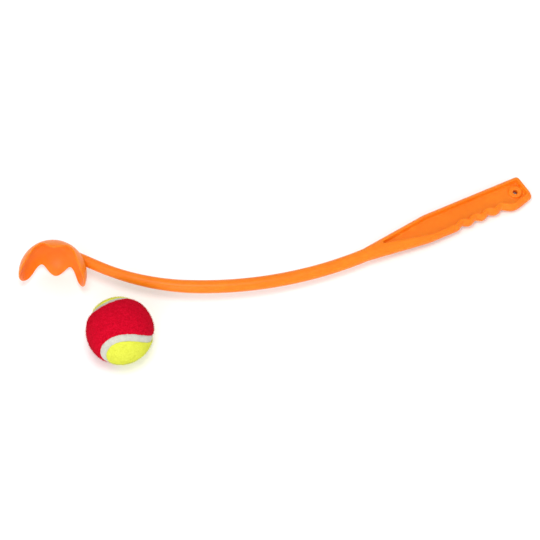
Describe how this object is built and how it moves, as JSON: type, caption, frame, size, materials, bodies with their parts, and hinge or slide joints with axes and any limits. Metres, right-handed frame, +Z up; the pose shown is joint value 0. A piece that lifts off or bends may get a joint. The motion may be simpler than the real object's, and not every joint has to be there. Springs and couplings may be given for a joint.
{
  "type": "ball launcher",
  "caption": "Bowed one-piece plastic ball launcher with a scalloped snap cup and a grooved hand grip, lying beside the felt-covered ball that it picks up and throws.",
  "frame": {"origin": "middle of the footprint of the launcher and its ball, on the floor that they lie on", "axes": "+X from the cup to the grip, +Y away from the cup's mouth, +Z up"},
  "size_m": [0.4874, 0.2052, 0.0626],
  "materials": {
    "launcher_plastic": "satin moulded polypropylene",
    "ball_rubber": "moulded rubber",
    "red_felt": "napped felt",
    "yellow_felt": "napped felt",
    "seam_glue": "matt rubber cement"
  },
  "bodies": {
    "launcher": {"cup": "launcher_plastic", "shaft": "launcher_plastic", "grip": "launcher_plastic"},
    "ball": {"ball_core_front": "ball_rubber", "ball_core_back": "ball_rubber", "ball_felt_red": "red_felt", "ball_felt_yellow": "yellow_felt", "ball_seam": "seam_glue"}
  },
  "joints": [
    {"name": "ball_to_mouth", "type": "slide", "parent": "launcher", "child": "ball", "axis": [-0.9218, 0.3876, 0], "range_m": [0, 0.07309]}
  ]
}
